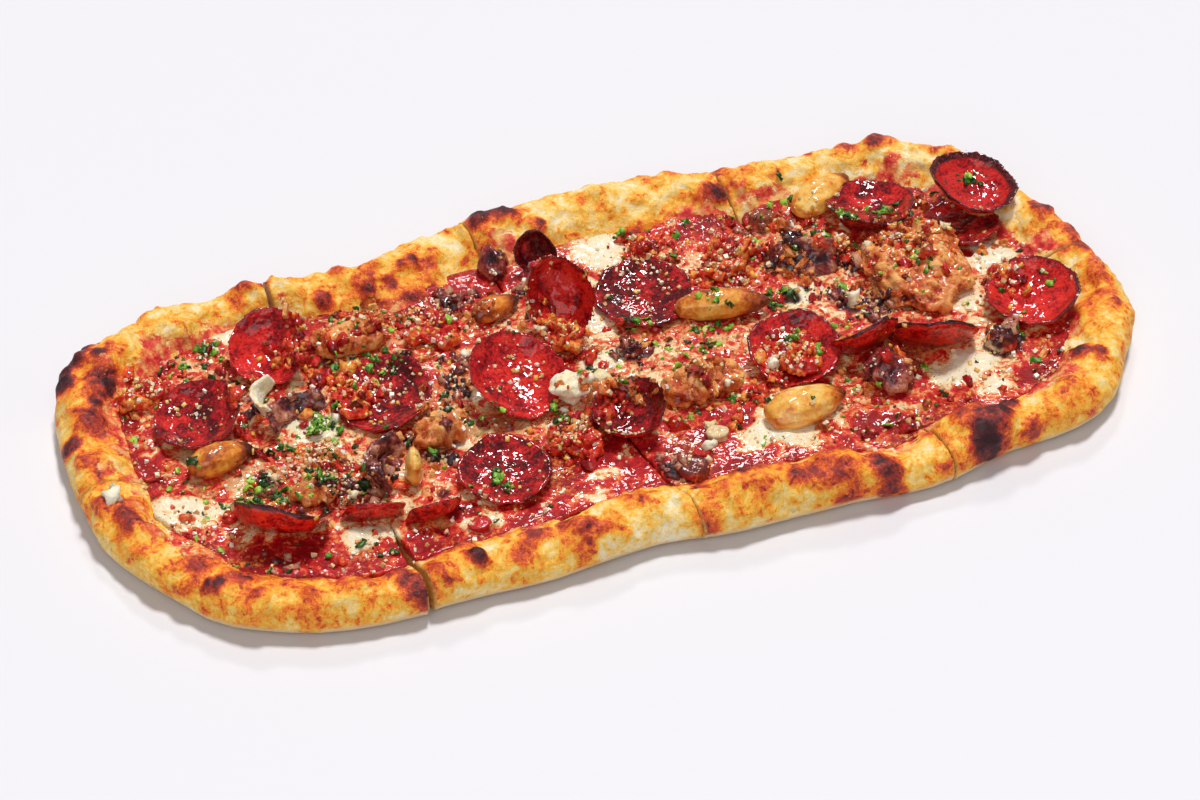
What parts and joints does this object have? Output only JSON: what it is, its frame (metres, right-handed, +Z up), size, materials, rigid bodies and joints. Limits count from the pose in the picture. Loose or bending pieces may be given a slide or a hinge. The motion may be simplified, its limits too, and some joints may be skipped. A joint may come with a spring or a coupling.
{
  "type": "bee sting pizza",
  "caption": "Oblong flatbread pizza cut into slices that still lie together, with cupped pepperoni, garlic, sausage and chili on sauce and cheese.",
  "frame": {"origin": "middle of the underside's bounding box, on the surface that the crust rests on", "axes": "+X along the length, toward the end that lies at the right in the picture; +Y across, away from the picture's camera; +Z up"},
  "size_m": [0.3578, 0.1764, 0.0362],
  "materials": {
    "crust": "baked, dry, with dark blisters and pale floury edges",
    "sauce_cheese": "melted cheese run into tomato sauce, soft gloss",
    "pepperoni": "oily, charred at the rim",
    "garlic": "roasted, glossy",
    "sausage": "crumbly, browned",
    "bacon": "wrinkled, oily",
    "chili_paste": "wet, seedy",
    "onion": "dark, roasted",
    "cheese": "dry crumbly curd"
  },
  "bodies": {
    "root": {"bacon_1": "bacon", "bacon_2": "bacon", "cheese_crumble": "cheese", "cheese_shaving": "cheese", "chili_paste_1": "chili_paste", "chili_paste_2": "chili_paste", "chili_paste_3": "chili_paste", "chili_paste_4": "chili_paste", "chili_paste_5": "chili_paste", "chili_paste_6": "chili_paste", "chili_paste_7": "chili_paste", "crust_left_back": "crust", "crust_left_front": "crust", "crust_middle_left_back": "crust", "crust_middle_left_front": "crust", "crust_middle_right_back": "crust", "crust_middle_right_front": "crust", "crust_right_back": "crust", "crust_right_front": "crust", "garlic_1": "garlic", "garlic_2": "garlic", "garlic_3": "garlic", "garlic_4": "garlic", "garlic_5": "garlic", "garlic_6": "garlic", "onion_1": "onion", "onion_2": "onion", "onion_3": "onion", "pepperoni_1": "pepperoni", "pepperoni_10": "pepperoni", "pepperoni_11": "pepperoni", "pepperoni_12": "pepperoni", "pepperoni_13": "pepperoni", "pepperoni_14": "pepperoni", "pepperoni_15": "pepperoni", "pepperoni_16": "pepperoni", "pepperoni_17": "pepperoni", "pepperoni_18": "pepperoni", "pepperoni_19": "pepperoni", "pepperoni_2": "pepperoni", "pepperoni_3": "pepperoni", "pepperoni_4": "pepperoni", "pepperoni_5": "pepperoni", "pepperoni_6": "pepperoni", "pepperoni_7": "pepperoni", "pepperoni_8": "pepperoni", "pepperoni_9": "pepperoni", "sauce_left_back": "sauce_cheese", "sauce_left_front": "sauce_cheese", "sauce_middle_left_back": "sauce_cheese", "sauce_middle_left_front": "sauce_cheese", "sauce_middle_right_back": "sauce_cheese", "sauce_middle_right_front": "sauce_cheese", "sauce_right_back": "sauce_cheese", "sauce_right_front": "sauce_cheese", "sausage_1": "sausage", "sausage_2": "sausage", "sausage_3": "sausage", "sausage_4": "sausage", "sausage_5": "sausage"}
  },
  "joints": []
}
